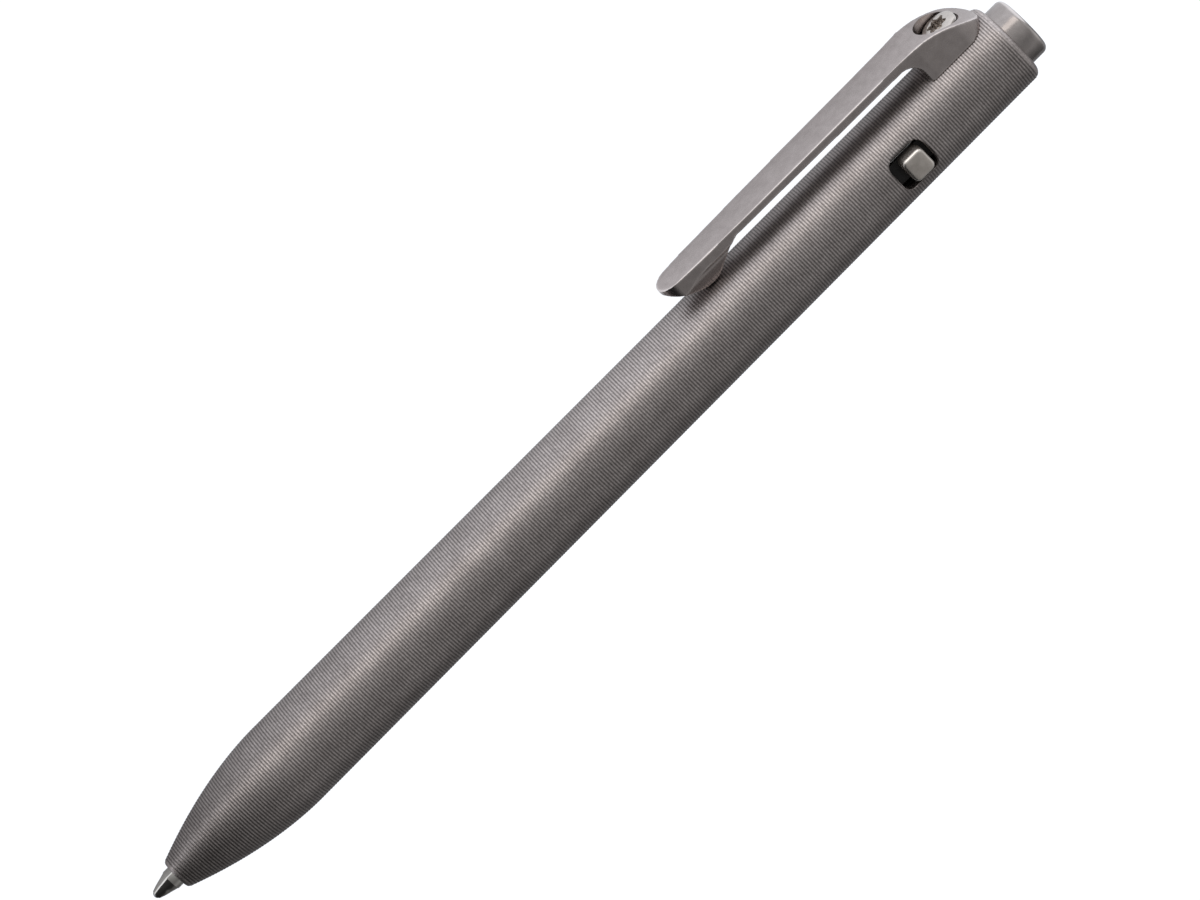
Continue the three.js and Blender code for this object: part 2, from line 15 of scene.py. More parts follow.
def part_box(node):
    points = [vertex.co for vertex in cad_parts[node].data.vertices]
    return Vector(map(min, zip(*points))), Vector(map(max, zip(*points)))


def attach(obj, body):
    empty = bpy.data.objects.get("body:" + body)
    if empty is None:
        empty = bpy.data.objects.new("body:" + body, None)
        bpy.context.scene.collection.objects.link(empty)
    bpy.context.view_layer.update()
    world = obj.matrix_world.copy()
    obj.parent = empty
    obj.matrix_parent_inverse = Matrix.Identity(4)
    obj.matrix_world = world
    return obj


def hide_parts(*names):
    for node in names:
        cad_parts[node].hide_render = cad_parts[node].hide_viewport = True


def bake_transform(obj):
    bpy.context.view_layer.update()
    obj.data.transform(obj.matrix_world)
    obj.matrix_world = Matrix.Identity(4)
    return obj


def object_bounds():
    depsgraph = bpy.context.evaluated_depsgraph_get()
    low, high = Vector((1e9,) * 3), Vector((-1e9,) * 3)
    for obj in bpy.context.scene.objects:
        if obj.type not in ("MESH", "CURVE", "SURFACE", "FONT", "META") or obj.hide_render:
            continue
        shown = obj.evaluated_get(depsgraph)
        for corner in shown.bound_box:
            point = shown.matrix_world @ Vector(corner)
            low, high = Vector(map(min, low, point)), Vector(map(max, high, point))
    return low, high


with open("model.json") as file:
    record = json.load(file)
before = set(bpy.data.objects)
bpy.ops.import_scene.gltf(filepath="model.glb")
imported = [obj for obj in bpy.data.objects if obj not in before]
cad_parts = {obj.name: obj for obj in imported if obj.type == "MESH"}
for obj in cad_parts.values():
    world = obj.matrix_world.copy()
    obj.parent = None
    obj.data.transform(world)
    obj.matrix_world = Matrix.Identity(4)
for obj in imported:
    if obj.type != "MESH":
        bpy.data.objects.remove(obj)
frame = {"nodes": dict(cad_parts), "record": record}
cad_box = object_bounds()
print("solid model's box in mm:", [[round(1000 * v, 2) for v in corner] for corner in cad_box])

# %% [markdown]
# A pen is easiest to describe upright, in millimetres: how far a point lies towards the clip, how far
# towards the side button, and how far along the pen from the writing ball. The frame lies on its side, so one
# function turns whole arrays of such points into the frame's metres. The two directions come from the frame
# itself, because the clip's flat face is one of its mounts.

# %% The pen's own directions
MM = 0.001
mounts = {mount["name"]: mount for mount in frame["record"]["mounts"]}
clip_way = np.array(mounts["clip_face"]["axis"], float)
along_way = np.array(mounts["knock_face"]["axis"], float)
button_way = np.cross(along_way, clip_way)
pen_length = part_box("refill_ball")[1].x / MM


def along_of(node):
    """Where a node starts and ends along the pen, in millimetres from the writing ball."""
    low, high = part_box(node)
    return pen_length - high.x / MM, pen_length - low.x / MM


def place(points):
    """Upright (clip, button, along) points in millimetres to the frame's metres: the sum of each distance
    times its direction, with the far end of the pen at the origin."""
    p = np.asarray(points, float).reshape(-1, 3)
    out = np.outer(p[:, 0], clip_way) + np.outer(p[:, 1], button_way)
    out += np.outer(p[:, 2] - pen_length, along_way)
    return out * MM


print("pen length", round(pen_length, 2), "mm, towards the clip", clip_way.round(3))

# %% [markdown]
# Almost every piece is a grid of points wrapped round an axis, as anything turned on a lathe is. A few
# helpers serve them all: one names the four corners of every cell of a grid, and one welds points that fall
# on each other, such as those of a pole, and drops the cells that this flattens.

# %% Grids and meshes
def wrapped_cells(rows, columns):
    """Corner numbers of a grid whose last column joins its first: cell (i, j) has the corners (i, j),
    (i, j+1), (i+1, j+1) and (i+1, j), which face away from the axis when the rows climb."""
    i, j = np.meshgrid(np.arange(rows - 1), np.arange(columns), indexing="ij")
    right = (j + 1) % columns
    row, above = i * columns, (i + 1) * columns
    return np.stack([row + j, row + right, above + right, above + j], -1).reshape(-1, 4)


def label(piece, name, values):
    """Gives each point of a piece a number, which the piece's material can read by that name."""
    layer = piece.data.attributes.new(name, "FLOAT", "POINT")
    layer.data.foreach_set("value", np.asarray(values, np.float32))


def welded(points, cells, values=None):
    """Points that agree to a hundred-thousandth of a millimetre become one, and flat cells go."""
    values = np.zeros(len(points)) if values is None else values
    keys = np.round(points * 1e5).astype(np.int64)
    _, first, same = np.unique(keys, axis=0, return_index=True, return_inverse=True)
    cells = same.reshape(-1)[cells]
    triangles = np.concatenate([cells[:, [0, 1, 2]], cells[:, [0, 2, 3]]])
    a, b, c = triangles.T
    triangles = triangles[(a != b) & (b != c) & (c != a)]
    return points[first], triangles, values[first]


def outwards(piece):
    """Turns every face to the outside."""
    shape = bmesh.new()
    shape.from_mesh(piece.data)
    bmesh.ops.recalc_face_normals(shape, faces=shape.faces)
    shape.to_mesh(piece.data)
    shape.free()


def in_scene(name, data):
    """A new object in the scene with this mesh, lens or light."""
    made = bpy.data.objects.new(name, data)
    bpy.context.scene.collection.objects.link(made)
    return made


def shaded(piece, sharp_angle):
    """Smooth shading, but for edges over the angle in degrees."""
    piece.data.shade_smooth()
    piece.data.set_sharp_from_angle(angle=math.radians(sharp_angle))


def make_object(name, points, faces, sharp_angle=35.0, crest=None):
    """Points in upright millimetres and their faces as an object, smooth but for edges over the angle."""
    mesh = bpy.data.meshes.new(name)
    mesh.from_pydata(place(points).tolist(), [], faces if isinstance(faces, list) else faces.tolist())
    made = in_scene(name, mesh)
    shaded(made, sharp_angle)
    if crest is not None:
        label(made, "crest", crest)
    return made


# %% [markdown]
# A lathe piece is made from its outline alone. What isn't round, such as the side button, is a stack of rings
# instead. Ready-made cylinders with cuts would come close too, but one list of points says every corner.

# %% Stacks and lathe pieces
def stacked(name, rings, sharp_angle=35.0):
    """Rings of points laid on one another, closed by the middle of the first ring and of the last."""
    ends = [np.repeat(ring.mean(0, keepdims=True), len(ring), 0) for ring in (rings[0], rings[-1])]
    grid = np.stack([ends[0], *rings, ends[1]])
    points, faces, _ = welded(grid.reshape(-1, 3), wrapped_cells(len(grid), grid.shape[1]))
    made = make_object(name, points, faces, sharp_angle)
    outwards(made)
    return made


def turned(name, outline, columns=96, sharp_angle=35.0):
    """A lathe piece: point (i, j) is outline point i, (radius, along), turned by j parts of a full turn.
    The outline climbs outside and comes back inside. It starts and ends on the axis or closes on itself."""
    rows = np.asarray(outline, float)
    if rows[0, 0] > 0:
        rows = np.vstack([rows, rows[:1]])
    angle = 2 * np.pi * np.arange(columns) / columns
    radius, along = rows[:, :1], np.repeat(rows[:, 1:], columns, 1)
    points = np.stack([radius * np.cos(angle), radius * np.sin(angle), along], -1).reshape(-1, 3)
    points, faces, _ = welded(points, wrapped_cells(len(rows), columns))
    made = make_object(name, points, faces, sharp_angle)
    print(name, len(faces), "triangles")
    return made


def arc(centre, size, start, end, steps=8):
    """Points of an arc round (radius, along) centre, from the start angle to the end angle in degrees."""
    turn = np.radians(np.linspace(start, end, steps + 1))
    return [(centre[0] + size * math.cos(t), centre[1] + size * math.sin(t)) for t in turn]


# %% [markdown]
# What a mill cuts is cut here too. Block and tools are prisms: an outline carried straight along one
# direction. The cuts are Boolean modifiers, then baked into the mesh, so that what is left is plain geometry.

# %% Cutting
def baked(piece):
    """Works a piece's modifiers into its mesh."""
    graph = bpy.context.evaluated_depsgraph_get()
    mesh = bpy.data.meshes.new_from_object(piece.evaluated_get(graph))
    piece.modifiers.clear()
    piece.data = mesh


def combine(piece, tool, operation):
    """Cuts the tool from the piece, or keeps only what both share, and uses the tool up."""
    step = piece.modifiers.new(operation, "BOOLEAN")
    step.operation = operation
    step.solver = "EXACT"
    step.object = tool
    baked(piece)
    bpy.data.objects.remove(tool)


def prism(name, outline, across, up, start, end):
    """An outline in two of the upright directions, given as their numbers, carried straight from start to
    end along the third. Numbers: 0 towards the clip, 1 towards the button, 2 along."""
    flat = np.asarray(outline, float)
    third = 3 - across - up
    count = len(flat)
    points = np.zeros((2 * count, 3))
    points[:, [across, up]] = np.tile(flat, (2, 1))
    points[:count, third] = start
    points[count:, third] = end
    ring = np.arange(count)
    following = (ring + 1) % count
    sides = np.stack([ring, following, following + count, ring + count], -1).tolist()
    made = make_object(name, points, [ring[::-1].tolist(), (ring + count).tolist(), *sides])
    outwards(made)
    return made


# %% [markdown]
# Hours in a tumbling drum round every edge alike. A bevel would pinch where three edges meet, so the cut
# shape is rebuilt from small even cells, and a little smoothing rounds it. An edge that still stands out is
# what a pocket rubs smooth, so it is marked as worn, and its tint takes a painted highlight.

# %% Softening
def softened(piece, cell, rounds):
    """Even cells of that size in millimetres, smoothed that many times, which rounds every edge."""
    remesh = piece.modifiers.new("cells", "REMESH")
    remesh.mode = "VOXEL"
    remesh.voxel_size = cell * MM
    smooth = piece.modifiers.new("tumbled", "SMOOTH")
    smooth.factor = 0.5
    smooth.iterations = rounds
    baked(piece)
    piece.data.shade_smooth()
    print(piece.name, len(piece.data.polygons), "faces")


def mark_wear_and_sheen(piece, cell):
    """How far an edge stands out, as the attribute wear_and_sheen: the distance from each point to the mean
    of its neighbours, along the point's normal and over the cell size, spread over two rings of neighbours.
    It marks wear and a painted highlight along the edge."""
    full_wear_and_sheen, rings = 0.09, 2
    mesh = piece.data
    count = len(mesh.vertices)
    points, normals = np.zeros(3 * count), np.zeros(3 * count, np.float32)
    edges = np.zeros(2 * len(mesh.edges), np.int32)
    mesh.vertices.foreach_get("co", points)
    mesh.vertex_normals.foreach_get("vector", normals)
    mesh.edges.foreach_get("vertices", edges)
    points, normals, edges = points.reshape(-1, 3), normals.reshape(-1, 3), edges.reshape(-1, 2)
    ends, others = np.concatenate([edges, edges[:, ::-1]]).T
    valence = np.bincount(ends, minlength=count)

    def spread(values):
        return np.bincount(ends, weights=values[others], minlength=count) / valence

    middle = np.stack([spread(points[:, k]) for k in range(3)], -1)
    # Edges that stand out get both wear and a painted highlight from this mark.
    wear_and_sheen = np.clip(((points - middle) * normals).sum(1) / (cell * MM) / full_wear_and_sheen, 0, 1)
    for _ in range(rings):
        wear_and_sheen = 0.5 * wear_and_sheen + 0.5 * spread(wear_and_sheen)
    label(piece, "wear_and_sheen", wear_and_sheen)
    print(piece.name, "wear and sheen share", round(float((wear_and_sheen > 0.5).mean()), 3))


# %% [markdown]
# The barrel's outline is a bullet: the nose swells from the tip hole to the shoulder by a power curve, and
# from there the barrel narrows very slowly to the cap end. One formula gives its radius everywhere, so that
# the window's edge and the clip's foot can follow it too.

# %% The barrel's shape
nose_trim, crest_rise = 0.1, 0.04
nose_end = along_of("front_barrel")[0] + nose_trim
joint_at, cap_end = along_of("rear_barrel")
shoulder_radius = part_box("front_barrel")[1].y / MM + crest_rise
nose_radius, nose_length, nose_power, cap_radius = 1.93, 17.25, 1.85, 5.18
shoulder_at = nose_end + nose_length
cap_fillet = 1.0


def barrel_radius(along):
    """The shoulder's radius less the nose's drop times the share of the nose that is left, to a power; past
    the shoulder a straight taper; and a quarter round, its radius less the root of that radius squared less
    the way into it squared, at the cap end."""
    left = np.clip((shoulder_at - along) / nose_length, 0, 1)
    back = np.clip((along - shoulder_at) / (cap_end - shoulder_at), 0, 1)
    drop = (shoulder_radius - nose_radius) * left ** nose_power
    round_off = np.clip(along - (cap_end - cap_fillet), 0, cap_fillet)
    drop = drop + cap_fillet - np.sqrt(cap_fillet ** 2 - round_off ** 2)
    return shoulder_radius - drop - (shoulder_radius - cap_radius) * back


print("barrel", round(2 * shoulder_radius, 2), "mm across at the shoulder,", 2 * cap_radius, "at the cap")

# %% [markdown]
# The lathe's tool leaves one continuous thread all along the barrel. It could be painted on as a bump, but a
# real thread catches the light from every side, so it is modelled: the grid's rows follow the thread, four
# to each turn.

# %% The thread
thread_from, thread_to, fade_length = nose_end + 0.3, cap_end - 0.35, 0.3
thread_pitch, thread_depth, thread_rows, thread_columns = 0.34, 0.036, 4, 96
# The plain ends count as 0.75 of a crest, so they take a little of the barrel's painted valley shade.
plain_crest, groove_sharp_angle = 0.75, 62


def smooth_step(x):
    x = np.clip(x, 0, 1)
    return x * x * (3 - 2 * x)


def threaded(start, end):
    """Rows that climb one pitch in a turn, held between start and end. The thread's depth is
    (1 - cos(2 pi (distance from the joint over the pitch, less the share of a turn))) / 2, which is the same
    all along a row, and in step where the two halves meet. It fades out at the pen's two ends. Returns the
    points (row, column) and how near each is to a crest."""
    climb = thread_pitch / thread_rows
    number = np.arange(math.floor((start - joint_at) / climb) - thread_rows,
                       math.ceil((end - joint_at) / climb) + 1)
    turn = np.arange(thread_columns) / thread_columns
    along = np.clip(joint_at + climb * number[:, None] + thread_pitch * turn[None, :], start, end)
    dip = 0.5 - 0.5 * np.cos(2 * np.pi * ((along - joint_at) / thread_pitch - turn[None, :]))
    dip *= smooth_step((along - thread_from) / fade_length) * smooth_step((thread_to - along) / fade_length)
    radius = barrel_radius(along) - thread_depth * dip
    angle = 2 * np.pi * turn
    return np.stack([radius * np.cos(angle), radius * np.sin(angle), along], -1), 1 - dip


def grooved_barrel(name, before, start, end, after):
    """A threaded skin between two plain outlines, which close it through the bore. At the seam, where the
    last column meets the first, the rows step up by one turn of the thread."""
    skin, crest = threaded(start, end)
    angle = 2 * np.pi * np.arange(thread_columns) / thread_columns

    def rings(outline):
        rows = np.asarray(outline, float)
        along = np.repeat(rows[:, 1:], thread_columns, 1)
        return np.stack([rows[:, :1] * np.cos(angle), rows[:, :1] * np.sin(angle), along], -1)

    count = len(skin)
    cells = wrapped_cells(count, thread_columns)
    seam = cells[:, 0] % thread_columns == thread_columns - 1
    row = cells[seam, 0] // thread_columns
    cells[seam, 1] = np.minimum(row + thread_rows, count - 1) * thread_columns
    cells[seam, 2] = np.minimum(row + 1 + thread_rows, count - 1) * thread_columns
    low = np.concatenate([rings(before), skin[:1]])
    high = np.concatenate([skin[-1:], rings([*after, before[0]])])
    parts, faces, values, offset = [skin, low, high], [cells], [crest], count * thread_columns
    for part in (low, high):
        faces.append(wrapped_cells(len(part), thread_columns) + offset)
        values.append(np.full(part.shape[:2], plain_crest))
        offset += part.shape[0] * thread_columns
    points = np.concatenate([part.reshape(-1, 3) for part in parts])
    shade = np.concatenate([value.reshape(-1) for value in values])
    points, triangles, shade = welded(points, np.concatenate(faces), shade)
    made = make_object(name, points, triangles, groove_sharp_angle, shade)
    print(name, len(triangles), "triangles")
    return made


# %% [markdown]
# The front barrel ends in a flat ring round the tip hole, and behind it in the tenon that screws into the
# rear barrel, with its O-ring groove. The joint closes on a thread valley, so it hardly shows.

# %% Front barrel
tip_hole, neck_hole, chamber, refill_bore, tenon_radius = 1.3, 1.62, 2.45, 3.1, 4.05
tip_hole_end, neck_hole_end, chamber_end = nose_end + 2.25, nose_end + 3.65, nose_end + 6.95
tenon_end, tenon_chamfer = along_of("front_barrel")[1], 0.4
groove_low, groove_high, groove_radius = joint_at + 0.78, joint_at + 1.68, 3.4
nose_corner, hole_chamfer, seam_step = 0.22, 0.12, 0.03
joint_line = joint_at - 0.02
before_front = [
    (tip_hole, nose_end + hole_chamfer), (tip_hole + hole_chamfer, nose_end),
    (nose_radius - nose_corner, nose_end),
    *arc((nose_radius - nose_corner, nose_end + nose_corner), nose_corner, -70, -20, 4),
]
after_front = [
    (barrel_radius(joint_line) - seam_step, joint_line),
    (tenon_radius, joint_line), (tenon_radius, groove_low), (groove_radius, groove_low),
    (groove_radius, groove_high), (tenon_radius, groove_high), (tenon_radius, tenon_end - tenon_chamfer),
    (tenon_radius - tenon_chamfer, tenon_end), (refill_bore, tenon_end), (refill_bore, chamber_end),
    (chamber, chamber_end), (chamber, neck_hole_end), (neck_hole, neck_hole_end),
    (neck_hole, tip_hole_end), (tip_hole, tip_hole_end),
]
front_barrel = grooved_barrel("barrel_front_threaded", before_front, thread_from, joint_line, after_front)

# %% [markdown]
# The rear barrel carries the thread on, in step with the front's, to a rounded cap end. Inside that end the
# bore is narrower and guides the end button.

# %% Rear barrel
work_bore, knock_bore, knock_bore_end, bore_chamfer = 4.1, 3.85, cap_end - 10.2, 0.1
round_start = math.degrees(math.asin((thread_to - cap_end + cap_fillet) / cap_fillet))
after_rear = [
    *arc((cap_radius - cap_fillet, cap_end - cap_fillet), cap_fillet, round_start, 90, 6)[1:],
    (knock_bore + bore_chamfer, cap_end), (knock_bore, cap_end - bore_chamfer),
    (knock_bore, knock_bore_end), (work_bore, knock_bore_end),
]
before_rear = [(work_bore, joint_at), (barrel_radius(joint_at) - seam_step, joint_at)]
rear_barrel = grooved_barrel("barrel_rear_threaded", before_rear, joint_at, thread_to, after_rear)

# %% [markdown]
# The side button's window is cut by a plug whose walls flare just under the barrel's skin, because its real
# edge is broken all round. The skin is curved, so the flare follows the height of the barrel at each point of
# the window's outline. The hole for the clip's screw is a plain cut.

# %% Window and screw hole
window_middle, window_length, window_width, window_corner = cap_end - 17.27, 4.8, 4.5, 1.1
plug_low, plug_high = 2.6, 6.5
screw_at, screw_hole_radius = cap_end - 4.7, 1.25


def rounded_rectangle(length, width, corner, steps=8):
    """Corner arcs joined by straight sides, anticlockwise, as (along, across) points round the middle."""
    turn = np.linspace(0, np.pi / 2, steps + 1)
    points = []
    for quarter, (sx, sy) in enumerate([(1, 1), (-1, 1), (-1, -1), (1, -1)]):
        t = turn + quarter * np.pi / 2
        x = sx * (length / 2 - corner) + corner * np.cos(t)
        y = sy * (width / 2 - corner) + corner * np.sin(t)
        points.append(np.stack([x, y], -1))
    return np.concatenate(points)


def circle(radius, middle=(0.0, 0.0), steps=64):
    """Points round a middle, anticlockwise."""
    turn = 2 * np.pi * np.arange(steps) / steps
    return np.stack([middle[0] + radius * np.cos(turn), middle[1] + radius * np.sin(turn)], -1)


def window_plug():
    """Level by level, the window's outline grown by the flare, at a height over the barrel's skin that
    follows the skin. The first and the last level are flat."""
    levels = [(0.0, None), (0.0, -0.13), (0.02, -0.07), (0.06, -0.03), (0.11, 0.02), (0.6, 0.4), (0.6, None)]
    rings = []
    for grow, height in levels:
        flat = rounded_rectangle(window_length + 2 * grow, window_width + 2 * grow, window_corner + grow)
        across, along = flat[:, 1], flat[:, 0] + window_middle
        skin = np.sqrt(barrel_radius(along) ** 2 - across ** 2)
        up = skin + height if height is not None else np.full(len(flat), plug_high if rings else plug_low)
        rings.append(np.stack([across, up, along], -1))
    return stacked("window_plug", rings)


combine(rear_barrel, window_plug(), "DIFFERENCE")
screw_hole = circle(screw_hole_radius, (0, screw_at), 32)
combine(rear_barrel, prism("screw_hole", screw_hole, 1, 2, 2.0, 7.0), "DIFFERENCE")
shaded(rear_barrel, groove_sharp_angle)
print("rear barrel after its cuts", len(rear_barrel.data.polygons), "faces")

# %% [markdown]
# The clip is milled from one block, so two outlines hold nearly all of it. The one from the side carries the
# bump, the foot and the arc that runs down to the barrel, and the one from above carries the slow taper.

# %% The clip's outlines
clip_end, clip_back = along_of("clip")
clip_height, clip_underside = 9.0, 8.1
foot_at, foot_fillet, foot_low, foot_corner = cap_end - 9.4, 1.9, 4.18, 0.6
head_arc_at, head_arc_radius = cap_end - 9.0, 10.9
bump_at, bump_clearance = clip_end + 5.2, 0.05
bump_low = float(barrel_radius(bump_at)) + bump_clearance
underside_at_foot = clip_underside - 0.2


def spline(points, steps=40):
    """A smooth curve through the points: Catmull and Rom's cubic between each pair, as whole arrays."""
    p = np.asarray(points, float)
    p = np.vstack([2 * p[0] - p[1], p, 2 * p[-1] - p[-2]])
    where = np.linspace(0, len(p) - 3, steps + 1)
    k = np.minimum(where.astype(int), len(p) - 4)
    t = (where - k)[:, None]
    a, b, c, d = p[k], p[k + 1], p[k + 2], p[k + 3]
    square, cube = (2 * a - 5 * b + 4 * c - d) * t ** 2, (3 * b - a - 3 * c + d) * t ** 3
    return 0.5 * (2 * b + (c - a) * t + square + cube)


def clip_side():
    """The side outline as (along, height) points."""
    bump = spline([
        (bump_at - 4.8, 8.15), (bump_at - 3.9, 7.45), (bump_at - 2.1, 6.2), (bump_at - 1.0, 5.5),
        (bump_at, bump_low), (bump_at + 0.95, 5.45), (bump_at + 2.3, 6.5), (bump_at + 3.7, 7.4),
        (bump_at + 5.0, 8.02), (bump_at + 5.9, clip_underside),
    ])
    foot = arc((foot_at - foot_fillet, underside_at_foot - foot_fillet), foot_fillet, 90, 0)
    foot += arc((foot_at + foot_corner, foot_low + foot_corner), foot_corner, 180, 270)
    reach = math.degrees(math.asin((clip_back - head_arc_at) / head_arc_radius))
    head = arc((head_arc_at, clip_height - head_arc_radius), head_arc_radius, 90 - reach, 90, 16)
    start = [(clip_end, clip_height), (clip_end, clip_height - 0.75)]
    return [*start, *map(tuple, bump), *foot, (clip_back, foot_low), *head]


def clip_plan():
    """The outline from above as (across, along) points."""
    end_radius, head_radius = 2.12, 2.92
    right = [(2.34, clip_end + 5.5), (2.53, clip_end + 13)]
    right += [(2.75, cap_end - 11.1), (head_radius, cap_end - 8.4)]
    near = arc((0, clip_end + 0.15 + end_radius), end_radius, 180, 360, 20)
    far = arc((0, clip_back - head_radius), head_radius, 0, 180, 28)
    return [*near, *right, *far, *((-across, along) for across, along in right[::-1])]


print("clip", round(clip_back - clip_end, 2), "mm long, its bump", round(bump_low, 2), "mm from the axis")

# %% [markdown]
# The overlap of the two outlines' prisms is the clip before tumbling. Two more cuts thin the bump to a narrow
# heel, and the barrel's own curve is cut from the foot. The screw's holes come after the tumbling, so their
# edges stay crisp.

# %% The clip, cut and tumbled
counterbore_radius, counterbore_floor, tumbled_cell = 2.4, 6.35, 0.1


def heel_cut(side):
    """A wedge beside the bump, as (across, height) points. It leaves the bump narrow at the barrel and wide
    near the arm, which it doesn't touch."""
    edge = [(1.1, 4.6), (1.25, 5.3), (1.75, 6.1), (2.15, 7.2), (2.25, 7.7), (4.0, 7.7), (4.0, 4.6)]
    outline = [(side * across, height) for across, height in edge]
    return prism("heel_cut", outline, 1, 0, clip_end - 1.0, clip_end + 12.5)


clip = prism("clip_tumbled", clip_side(), 2, 0, -4.0, 4.0)
combine(clip, prism("plan", clip_plan(), 1, 2, 0.0, 12.0), "INTERSECT")
for side in (-1, 1):
    combine(clip, heel_cut(side), "DIFFERENCE")
saddle_radius = float(barrel_radius(foot_at)) + 0.01
combine(clip, prism("saddle", circle(saddle_radius), 0, 1, clip_end - 1, cap_end + 1), "DIFFERENCE")
softened(clip, tumbled_cell, 6)
mark_wear_and_sheen(clip, tumbled_cell)
counterbore = circle(counterbore_radius, (0, screw_at))
combine(clip, prism("counterbore", counterbore, 1, 2, counterbore_floor, 12.0), "DIFFERENCE")
shank_hole = circle(screw_hole_radius, (0, screw_at))
combine(clip, prism("shank_hole", shank_hole, 1, 2, 2.0, 8.0), "DIFFERENCE")
shaded(clip, 50)

# %% [markdown]
# The clip's screw has a slightly domed head and a six-lobed recess. It is a polar grid, from the end of the
# shank over the head to the recess's floor. Its rings are circles outside the recess. Inside it each radius
# is scaled by 1 plus a share of the cosine of six times the angle.

# %% Clip screw
lobes, lobe_share, screw_columns = 6, 0.19, 96
screw_rings = [
    (0.0, 3.95, 0), (1.2, 3.95, 0), (1.2, 6.5, 0), (2.0, 6.5, 0), (2.18, 6.62, 0), (2.18, 7.3, 0),
    (2.14, 7.44, 0), (2.02, 7.54, 0), (1.7, 7.64, 0), (1.36, 7.69, 0), (1.2, 7.7, 0.5),
    (1.13, 7.68, 1), (1.09, 7.6, 1), (1.07, 6.6, 1), (0.9, 6.5, 1), (0.4, 6.3, 0.5), (0.0, 6.25, 0),
]
radius, height, lobed = np.array(screw_rings, float).T[:, :, None]
turn = 2 * np.pi * np.arange(screw_columns) / screw_columns
from_axis = radius * (1 + lobe_share * lobed * np.cos(lobes * turn))
grid = np.stack([height + 0 * turn, from_axis * np.cos(turn), screw_at + from_axis * np.sin(turn)], -1)
points, faces, _ = welded(grid.reshape(-1, 3), wrapped_cells(len(screw_rings), screw_columns))
clip_screw = make_object("clip_screw_lobed", points, faces, 38.0)
outwards(clip_screw)
print("clip_screw_lobed", len(faces), "triangles")

# %% [markdown]
# The end button is a turned plug whose edge is well rounded, with a face that is just not flat, so that
# the light moves over it. Fingers polish its round rim, which the attribute wear_and_sheen tells its finish;
# the same attribute lightens the rim's tint as a painted highlight.

# %% End button
knock_start, knock_end = along_of("plunger_head")
knock_radius, knock_fillet, knock_chamfer, knock_dome = 3.79, 0.8, 0.3, 0.02
stem_hole_radius, stem_hole_depth = 1.35, 5
end_button = turned("end_button", [
    (0, knock_start + stem_hole_depth), (stem_hole_radius, knock_start + stem_hole_depth),
    (stem_hole_radius, knock_start), (knock_radius - knock_chamfer, knock_start),
    (knock_radius, knock_start + knock_chamfer), (knock_radius, knock_end - 2.5),
    *arc((knock_radius - knock_fillet, knock_end - knock_fillet - knock_dome), knock_fillet, 0, 88, 12),
    (2.4, knock_end - 0.012), (1.2, knock_end - 0.003), (0, knock_end),
])


def rim_wear_and_sheen(piece, face_way):
    """The rim that fingers polish, with a painted highlight, as the attribute wear_and_sheen: full where
    the surface leans 45 degrees from the way that the piece's face looks, and none on the face and the sides."""
    normals = np.zeros(3 * len(piece.data.vertices), np.float32)
    piece.data.vertex_normals.foreach_get("vector", normals)
    lean = normals.reshape(-1, 3) @ face_way
    # Full on the rim: wear there, and a painted highlight.
    label(piece, "wear_and_sheen", np.clip(1.3 - np.abs(lean - 0.7) / 0.25, 0, 1))


rim_wear_and_sheen(end_button, along_way)

# %% [markdown]
# The side button is a small square of the same metal, and its rim is worn and lit by a painted highlight
# too. It isn't turned, so it is a stack of rounded squares. It stands on a wider tongue that the barrel holds
# in.

# %% Side button
button_middle, button_across, button_top = window_middle + 0.36, -0.12, 5.75
button_length, button_width, button_corner, button_round, button_dome = 2.94, 3.24, 0.75, 0.42, 0.05
tongue_top, tongue_low, tongue_width, tongue_past_window, tongue_corner = 3.8, 3.3, 2.8, 0.7, 0.3


def side_button_cap():
    """Rounded squares stacked from inside the tongue up: straight sides, a quarter round at the top edge,
    and then a face that is a shallow dome. Each level is (how far it is drawn in, how high it lies)."""
    turn = np.linspace(0, np.radians(84), 8)
    edge_top = button_top - button_dome
    levels = [(0.0, tongue_top - 0.2), (0.0, edge_top - button_round)]
    levels += zip(button_round * (1 - np.cos(turn)), edge_top - button_round * (1 - np.sin(turn)))
    levels += [(0.7, button_top - 0.03), (1.0, button_top - 0.012), (1.25, button_top - 0.003)]
    rings = []
    for inset, height in levels:
        corner = max(button_corner - inset, 0.12)
        flat = rounded_rectangle(button_length - 2 * inset, button_width - 2 * inset, corner)
        across, along = flat[:, 1] + button_across, flat[:, 0] + button_middle
        rings.append(np.stack([across, np.full(len(flat), height), along], -1))
    return stacked("side_button_cap", rings, 40.0)


side_button = side_button_cap()
rim_wear_and_sheen(side_button, button_way)
tongue_length = window_length + 2 * tongue_past_window
tongue_outline = rounded_rectangle(tongue_length, tongue_width, tongue_corner) + [window_middle, 0]
tongue = prism("side_button_tongue", tongue_outline[:, ::-1], 0, 2, tongue_low, tongue_top)
tongue.modifiers.new("edge", "BEVEL").width = 0.06 * MM
baked(tongue)
print("side button", len(side_button.data.polygons), "faces, its tongue", len(tongue.data.polygons))

# %% [markdown]
# The refill's point shows outside the nose: a turned cone of bright nickel that swells a little, with a
# small collar where it leaves the nose. Its ball stands out of a rolled rim. The rest of the refill shows
# when the front barrel is off: a brass nose with a shoulder, then the tube with its crimped groove. They are
# lathe pieces, so each is only an outline. The ring in the joint's groove is a turned circle.

